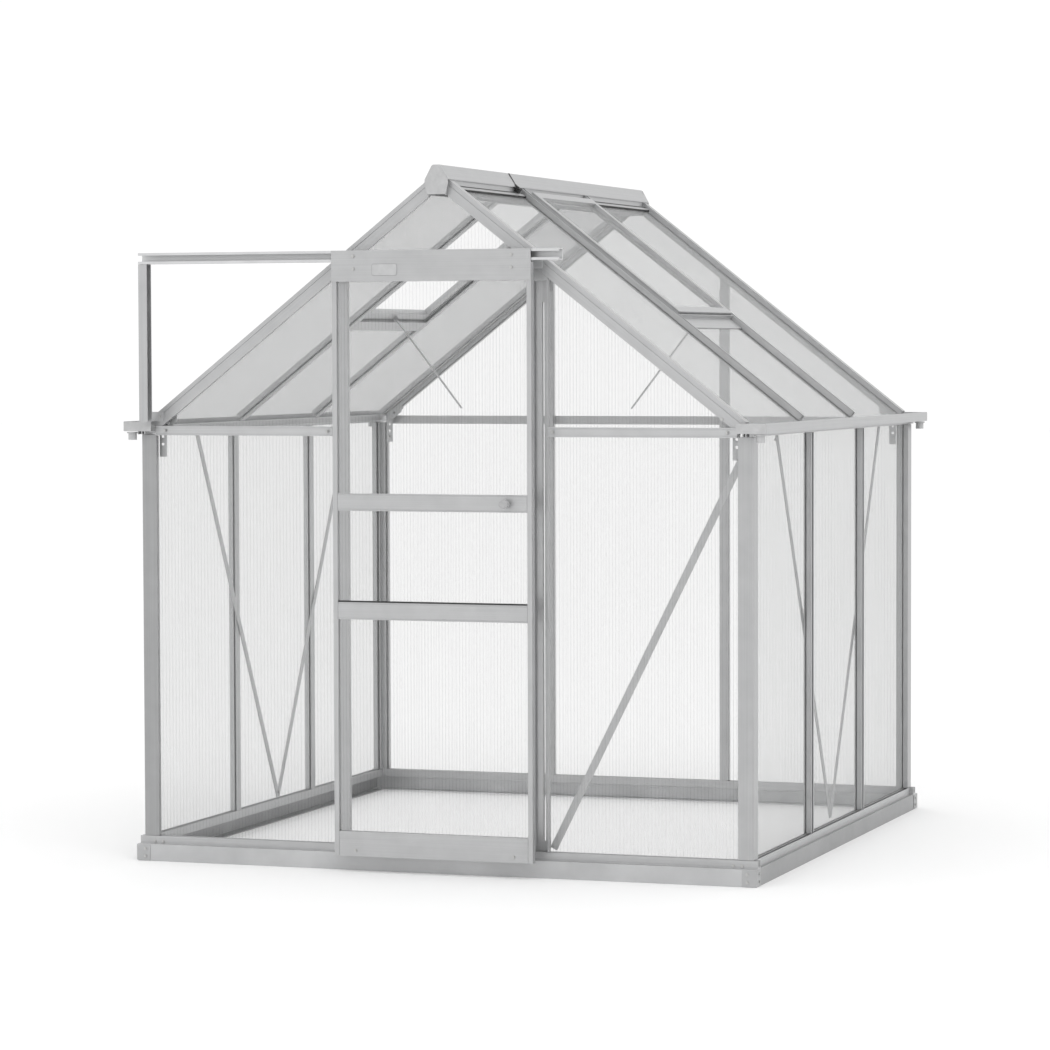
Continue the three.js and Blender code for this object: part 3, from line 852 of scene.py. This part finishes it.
def makeGussets():
    for sideX, nameX in ((-1, "left"), (1, "right")):
        for sideY, nameY in ((-1, "front"), (1, "back")):
            wall = frontY + gusset["setIn"] if sideY < 0 else backY - gusset["setIn"]
            bm = bmesh.new()
            place = lambda a, depth, b: Vector((a * sideX, wall - depth * sideY, b))
            punchedPlate(bm, gusset["outline"], gusset["holes"], gusset["holeRadius"], place, gusset["thick"])
            name = f"gusset_{nameX}_{nameY}"
            linkMesh(name, meshFrom(bm, name), "frame", aluminium["z"])


barHead = {"deep": 0.015, "gap": 0.0003, "short": 0.008}   # short: bar top to the rafter, at the outer edge


def makeBarHeads():
    # wedges that carry the gables' jambs and studs up to the sloping edge bars
    reach = highCorner("jamb_right").x
    for bar, sideY in (("jamb", -1), ("stud_back", 1)):
        for sideX, nameX in ((-1, "left"), (1, "right")):
            low, high = lowCorner(f"{bar}_{nameX}"), highCorner(f"{bar}_{nameX}")
            near, far = sorted((abs(low.x), abs(high.x)))
            face = low.y if sideY < 0 else high.y
            foot = high.z + barHead["gap"]
            head = high.z + barHead["short"]
            rafterAt = lambda x: head + (reach - x) * math.tan(slopeAngle) - barHead["gap"]
            outline = [(near, foot), (far, foot), (far, rafterAt(far)), (near, rafterAt(near))]
            bm = bmesh.new()
            addPrism(bm, outline, lambda a, depth, b: Vector((a * sideX, face - depth * sideY, b)),
                     barHead["deep"])
            name = f"{bar}_head_{nameX}"
            piece = linkMesh(name, meshFrom(bm, name), "frame", aluminium["z"])
            addBevel(piece, bars["edge"])


gutterEnd = {
    "plate": 0.002,
    "inner": 0.893,
    "deep": 0.029,
    "gap": 0.0004,
    "proud": {"front": 0.0004, "back": -0.0002},
    "edge": 0.0004,
    "stubRadius": 0.0125,
    "stubDrop": 0.025,
    "stubX": 0.960,
    "stubIn": 0.0175,
    "wall": 0.0018,
    "collar": 0.004,
    "collarLow": -0.006,
    "collarHigh": -0.002,
}


def addLathe(bm, middle, profile, turns=28):
    # a closed ring profile of (radius, height) turned about the upright axis
    rings = []
    for i in range(turns):
        turn = math.tau * i / turns
        rings.append([bm.verts.new((middle[0] + r * math.cos(turn),
                                    middle[1] + r * math.sin(turn), middle[2] + h))
                      for r, h in profile])
    for i in range(turns):
        here, there = rings[i], rings[(i + 1) % turns]
        for j in range(len(profile)):
            k = (j + 1) % len(profile)
            bm.faces.new((here[j], there[j], there[k], here[k]))


def makeGutterEnds():
    for side, name in ((-1, "left"), (1, "right")):
        low, high = lowCorner(f"gutter_{name}"), highCorner(f"gutter_{name}")
        reach = max(abs(low.x), abs(high.x))
        near, foot, top = gutterEnd["inner"], high.z - gutterEnd["deep"], high.z - gutterEnd["gap"]
        outline = [(near, foot), (reach, foot), (reach, top), (near, top)]
        for sideY, nameY in ((-1, "front"), (1, "back")):
            endY = low.y if sideY < 0 else high.y
            proud = gutterEnd["proud"][nameY]
            bm = bmesh.new()
            addPrism(bm, outline, lambda a, depth, b: Vector((a * side, endY + (proud - depth) * sideY, b)),
                     gutterEnd["plate"])
            piece = linkMesh(f"gutter_end_{name}_{nameY}", meshFrom(bm, "gutterEnd"), "frame",
                             capMaterial)
            addBevel(piece, gutterEnd["edge"])
            bm = bmesh.new()
            r, drop = gutterEnd["stubRadius"], gutterEnd["stubDrop"]
            bore, rim = r - gutterEnd["wall"], r + gutterEnd["collar"]
            collarLow, collarHigh = gutterEnd["collarLow"], gutterEnd["collarHigh"]
            profile = [(r, -drop), (r, collarLow), (rim, collarLow), (rim, collarHigh), (bore, collarHigh),
                       (bore, -drop)]
            middle = (side * gutterEnd["stubX"], endY - sideY * gutterEnd["stubIn"], foot - gutterEnd["gap"])
            addLathe(bm, middle, profile)
            linkMesh(f"gutter_outlet_{name}_{nameY}", meshFrom(bm, "gutterOutlet"), "frame",
                     capMaterial)


ridgeCap = {
    "thick": 0.004,
    "gap": 0.0002,
    "edge": 0.0015,
    "halfFoot": 0.028,
    "foot": 1.952,
    "halfShoulder": 0.036,
    "shoulder": 1.981,
    "shoulderIn": 0.001,
    "shoulderRise": 0.014,
    "halfTop": 0.014,
    "topIn": 0.005,
    "topDrop": 0.003,
}


def makeRidgeCaps():
    cap = ridgeCap
    top = highCorner("ridge").z
    right = [(cap["halfFoot"], cap["foot"]), (cap["halfShoulder"], cap["shoulder"]),
             (cap["halfShoulder"] - cap["shoulderIn"], cap["shoulder"] + cap["shoulderRise"]),
             (cap["halfTop"], top - cap["topDrop"]), (cap["halfTop"] - cap["topIn"], top)]
    left = [(-a, b) for a, b in reversed(right)]
    outline = [left[-1], *right, *left[:-1]]
    for name, endY, away in (("front", lowCorner("ridge").y, -1), ("back", highCorner("ridge").y, 1)):
        bm = bmesh.new()
        addPrism(bm, outline, lambda a, depth, b: Vector((a, endY + away * (depth + cap["gap"]), b)),
                 cap["thick"])
        piece = linkMesh(f"ridge_cap_{name}", meshFrom(bm, "ridgeCap"), "frame", capMaterial)
        addBevel(piece, cap["edge"], 3)


ridgeSeal = {
    "start": 0.057,       # along the slope from the peak
    "end": 0.071,
    "line": 0.0022,
    "out": -0.0152,       # square to the slope
    "rise": 0.005,
    "lineRise": 0.001,
    "lineInset": 0.002,
    "barHalf": 0.02,
    "edge": 0.0008,
    "joint": -0.375,      # across, from the middle
    "clip": (0.036, 0.050, -0.004, 0.007, -0.006, 0.008),
    "tail": (0.0445, 0.058, -0.015, 0.004, -0.002, 0.016),
    "band": [(0.0355, 1.9945), (0.0375, 1.9962), (0.0125, 2.0368), (0.0095, 2.0368)],
    "bandWidth": 0.003,
}


def slopeBlock(bm, alongLow, alongHigh, outLow, outHigh, yLow, yHigh, side):
    outline = [(alongLow, outLow), (alongHigh, outLow), (alongHigh, outHigh), (alongLow, outHigh)]
    addPrism(bm, outline, lambda a, depth, b: slopePoint(a, b, yLow + depth, side), yHigh - yLow)


def makeRidgeSeals():
    seal = ridgeSeal
    outer = abs(highCorner("glazing_right").y - middleY)
    inner = studY + seal["barHalf"]
    spans = ((middleY - outer, middleY - inner), (middleY + inner, middleY + outer))
    low, high, inset = seal["out"], seal["out"] + seal["rise"], seal["lineInset"]
    for side, name in ((-1, "left"), (1, "right")):
        strips, lines = bmesh.new(), bmesh.new()
        for yLow, yHigh in spans:
            slopeBlock(strips, seal["start"], seal["end"], low, high, yLow, yHigh, side)
            for along in (seal["start"] - seal["line"], seal["end"]):
                slopeBlock(lines, along, along + seal["line"], low, high + seal["lineRise"], yLow + inset,
                           yHigh - inset, side)
        strip = linkMesh(f"ridge_strip_{name}", meshFrom(strips, "ridgeStrip"), "frame",
                         aluminium["y"])
        addBevel(strip, seal["edge"])
        linkMesh(f"ridge_seal_{name}", meshFrom(lines, "ridgeSeal"), "frame", rubberMaterial)
        joint = bmesh.new()
        y = middleY + seal["joint"]
        for part in (seal["clip"], seal["tail"]):
            slopeBlock(joint, *part[:4], y + part[4], y + part[5], side)
        addPrism(joint, seal["band"], lambda a, depth, b: Vector((a * side, y + depth, b)), seal["bandWidth"])
        linkMesh(f"ridge_joint_{name}", meshFrom(joint, "ridgeJoint"), "frame", rubberMaterial)


labelPlate = {
    "left": -0.172,
    "right": -0.096,
    "bottom": 1.721,
    "top": 1.753,
    "corner": 0.006,
    "thick": 0.0014,
    "gap": 0.0002,
    "edge": 0.0006,
    "rim": 0.0012,
    "rimCorner": 0.001,
    "rimThick": 0.0005,
    "rimGap": 0.0001,
}
arcSteps = 6      # in each quarter turn


def roundedOutline(left, right, bottom, top, corner):
    points = []
    for x, z, start in ((right, top, 0), (left, top, 90), (left, bottom, 180), (right, bottom, 270)):
        middleX = x - corner if x == right else x + corner
        middleZ = z - corner if z == top else z + corner
        for i in range(arcSteps + 1):
            turn = math.radians(start + 90 / arcSteps * i)
            points.append((middleX + corner * math.cos(turn), middleZ + corner * math.sin(turn)))
    return points


def makeLabelPlate():
    face = lowCorner("door_header").y
    plate = labelPlate
    outline = roundedOutline(plate["left"], plate["right"], plate["bottom"], plate["top"], plate["corner"])
    bm = bmesh.new()
    addPrism(bm, outline, lambda a, depth, b: Vector((a, face - plate["gap"] - depth, b)), plate["thick"])
    piece = linkMesh("label_plate", meshFrom(bm, "labelPlate"), "door", labelMaterial)
    addBevel(piece, plate["edge"])
    bm = bmesh.new()
    rim = plate["rim"]
    outline = roundedOutline(plate["left"] - rim, plate["right"] + rim, plate["bottom"] - rim,
                             plate["top"] + rim, plate["corner"] + plate["rimCorner"])
    addPrism(bm, outline, lambda a, depth, b: Vector((a, face - plate["rimGap"] - depth, b)), plate["rimThick"])
    linkMesh("label_rim", meshFrom(bm, "labelRim"), "door", greyPlastic)


darkRailLine = {"sideGap": 0.001, "lift": 0.0002, "top": 0.0042, "deep": 0.0085, "edge": 0.0006}


# a black strip along the top of the lower mid rail
def makeDarkRailLine():
    line = darkRailLine
    low, high = lowCorner("door_mid_rail_lower"), highCorner("door_mid_rail_lower")
    bm = bmesh.new()
    addBox(bm, (low.x + line["sideGap"], low.y, high.z + line["lift"]),
           (high.x - line["sideGap"], low.y + line["deep"], high.z + line["top"]))
    piece = linkMesh("door_dark_line", meshFrom(bm, "doorDarkLine"), "door", rubberMaterial)
    addBevel(piece, line["edge"])


makeGussets()
makeBarHeads()
makeGutterEnds()
makeRidgeCaps()
makeRidgeSeals()
makeLabelPlate()
makeDarkRailLine()
print("plates, caps and seals made")

# bolts: a hexagon head on a washer at each point of a small mesh

bolts = {
    "radius": 0.0052,
    "height": 0.0036,
    "washer": 0.0068,
    "washerThick": 0.0009,
    "headSides": 6,
    "washerSides": 20,
}


def boltTree():
    tree, given, out = startTree("boltHeads", [
        ("Geometry", "NodeSocketGeometry"), ("Facing", "NodeSocketVector"), ("Radius", "NodeSocketFloat"),
        ("Height", "NodeSocketFloat"), ("Washer", "NodeSocketFloat"), ("Washer Thickness", "NodeSocketFloat"),
        ("Material", "NodeSocketMaterial"),
    ])
    joined = newNode(tree, "GeometryNodeJoinGeometry")
    aligned = newNode(tree, "FunctionNodeAlignRotationToVector", axis="Z")
    tree.links.new(given.outputs["Facing"], aligned.inputs["Vector"])
    parts = (("Radius", "Height", bolts["headSides"], True),
             ("Washer", "Washer Thickness", bolts["washerSides"], False))
    for radius, height, sides, raised in parts:
        drum = newNode(tree, "GeometryNodeMeshCylinder")
        drum.inputs["Vertices"].default_value = sides
        tree.links.new(given.outputs[radius], drum.inputs["Radius"])
        tree.links.new(given.outputs[height], drum.inputs["Depth"])
        lift = newNode(tree, "ShaderNodeCombineXYZ")
        half = mathNode(tree, "MULTIPLY", given.outputs[height], 0.5)
        if raised:
            half = mathNode(tree, "ADD", half, given.outputs["Washer Thickness"])
        tree.links.new(half, lift.inputs["Z"])
        seated = newNode(tree, "GeometryNodeTransform")
        tree.links.new(drum.outputs["Mesh"], seated.inputs["Geometry"])
        tree.links.new(lift.outputs[0], seated.inputs["Translation"])
        tree.links.new(seated.outputs[0], joined.inputs[0])
    copies = newNode(tree, "GeometryNodeInstanceOnPoints")
    tree.links.new(given.outputs["Geometry"], copies.inputs["Points"])
    tree.links.new(joined.outputs[0], copies.inputs["Instance"])
    tree.links.new(aligned.outputs[0], copies.inputs["Rotation"])
    real = newNode(tree, "GeometryNodeRealizeInstances")
    finish = newNode(tree, "GeometryNodeSetMaterial")
    tree.links.new(copies.outputs[0], real.inputs[0])
    tree.links.new(real.outputs[0], finish.inputs["Geometry"])
    tree.links.new(given.outputs["Material"], finish.inputs["Material"])
    tree.links.new(finish.outputs[0], out.inputs[0])
    return tree


boltHeads = boltTree()


def addBolts(name, body, groups, size=1.0):
    # groups: facing direction and the points of its bolts
    heads = bmesh.new()
    for facing, points in groups:
        seed = bpy.data.meshes.new("boltPoints")
        seed.from_pydata([tuple(point) for point in points], [], [])
        values = {"Facing": facing, "Radius": bolts["radius"] * size, "Height": bolts["height"] * size,
                  "Washer": bolts["washer"] * size, "Washer Thickness": bolts["washerThick"] * size,
                  "Material": boltMaterial}
        baked = bakeTree("bolts", seed, boltHeads, values)
        heads.from_mesh(baked)
        bpy.data.meshes.remove(baked)
    linkMesh(name, meshFrom(heads, name), body, boltMaterial)


doorBolts = {
    "size": 0.85,
    "headerAcross": (-0.230, 0.250),
    "headerDrops": (0.017, 0.053),
    "footAcross": (-0.233, 0.250),
    "footRise": 0.017,
}


def makeDoorBolts():
    spots = doorBolts
    header = lowCorner("door_header")
    top = highCorner("door_header").z
    points = [(x, header.y, top - drop) for x in spots["headerAcross"] for drop in spots["headerDrops"]]
    rail = lowCorner("door_bottom_rail")
    points += [(x, rail.y, rail.z + spots["footRise"]) for x in spots["footAcross"]]
    addBolts("door_bolts", "door", [((0, -1, 0), points)], spots["size"])


frameBolts = {
    "plinthSize": 0.75,
    "plinthIn": 0.026,
    "plinthHeights": (0.014, 0.036),
    "gussetSize": 0.8,
    "braceSize": 0.85,
    "braceFoot": 0.016,
    "braceHead": 0.02,
    "braceEnd": 0.008,
    "frontBraceIn": 0.016,
    "frontBraceUp": 0.014,
    "frontSize": 0.75,
    "sillFace": 0.022,
    "sillDrop": 0.016,
    "sillAcross": (-0.903, -0.877, 0.877, 0.903),
    "railFace": 0.029,
    "railAcross": (-0.30, 0.30),
    "tieHeight": 1.273,
    "tieAcross": (-0.86, -0.345, 0.345, 0.86),
    "footIn": 0.012,
    "footProud": 0.0034,
    "footHeight": 1.314,
}


def makePlinthBolts():
    spots = frameBolts
    plate, inset = corner["thick"], spots["plinthIn"]
    faces = []
    for sideX in (-1, 1):
        edge = highCorner("base_front").x * sideX
        for y, away in ((lowCorner("base_front").y, -1), (highCorner("base_back").y, 1)):
            gable = [(edge - inset * sideX, y + away * plate, z) for z in spots["plinthHeights"]]
            wall = [(edge + plate * sideX, y - away * inset, z) for z in spots["plinthHeights"]]
            faces += [((0, away, 0), gable), ((sideX, 0, 0), wall)]
    addBolts("plinth_bolts", "frame", faces, spots["plinthSize"])


def makeGussetBolts():
    depth = gusset["setIn"]
    faces = []
    for sideY, y in ((-1, frontY + depth + gusset["thick"]), (1, backY - depth - gusset["thick"])):
        outerY = frontY if sideY < 0 else backY
        inside = [(x * sideX, y, z) for sideX in (-1, 1) for x, z in gusset["bolts"]]
        outside = [(x * sideX, outerY, z) for sideX in (-1, 1) for x, z in gusset["bolts"][2:]]
        faces += [((0, -sideY, 0), inside), ((0, sideY, 0), outside)]
    addBolts("gusset_bolts", "frame", faces, frameBolts["gussetSize"])


def makeBraceBolts():
    spots = frameBolts
    low, high = lowCorner("brace_right"), highCorner("brace_right")
    feet, tops, reach = low.z + spots["braceFoot"], high.z - spots["braceHead"], high.y - spots["braceEnd"]
    faces = []
    for side in (-1, 1):
        x = low.x * side
        faces.append(((-side, 0, 0), [(x, middleY, feet), (x, reach, tops), (x, 2 * middleY - reach, tops)]))
    low, high = lowCorner("brace_front"), highCorner("brace_front")
    inset, rise = spots["frontBraceIn"], spots["frontBraceUp"]
    faces.append(((0, 1, 0), [(low.x + inset, high.y, low.z + rise), (high.x - inset, high.y, high.z - rise)]))
    addBolts("brace_bolts", "frame", faces, spots["braceSize"])


def makeFrontBolts():
    spots = frameBolts
    sillY, sillZ = lowCorner("base_front").y + spots["sillFace"], highCorner("base_back").z - spots["sillDrop"]
    points = [(x, sillY, sillZ) for x in spots["sillAcross"]]
    low, high = lowCorner("rail"), highCorner("rail")
    points += [(x, low.y + spots["railFace"], (low.z + high.z) / 2) for x in spots["railAcross"]]
    points += [(x, lowCorner("tie_front_right").y, spots["tieHeight"]) for x in spots["tieAcross"]]
    foot = highCorner("rail_post").x - spots["footIn"]
    points.append((foot, frontY - spots["footProud"], spots["footHeight"]))
    addBolts("front_bolts", "frame", [((0, -1, 0), points)], spots["frontSize"])


makeDoorBolts()
makePlinthBolts()
makeGussetBolts()
makeBraceBolts()
makeFrontBolts()
print("bolts made")

# the knob and the rollers keep their own shapes

plainNodes = {"door_knob": knobMaterial, "roller_left": greyPlastic, "roller_right": greyPlastic}
for node, material in plainNodes.items():
    nodes[node].data.materials.clear()
    nodes[node].data.materials.append(material)
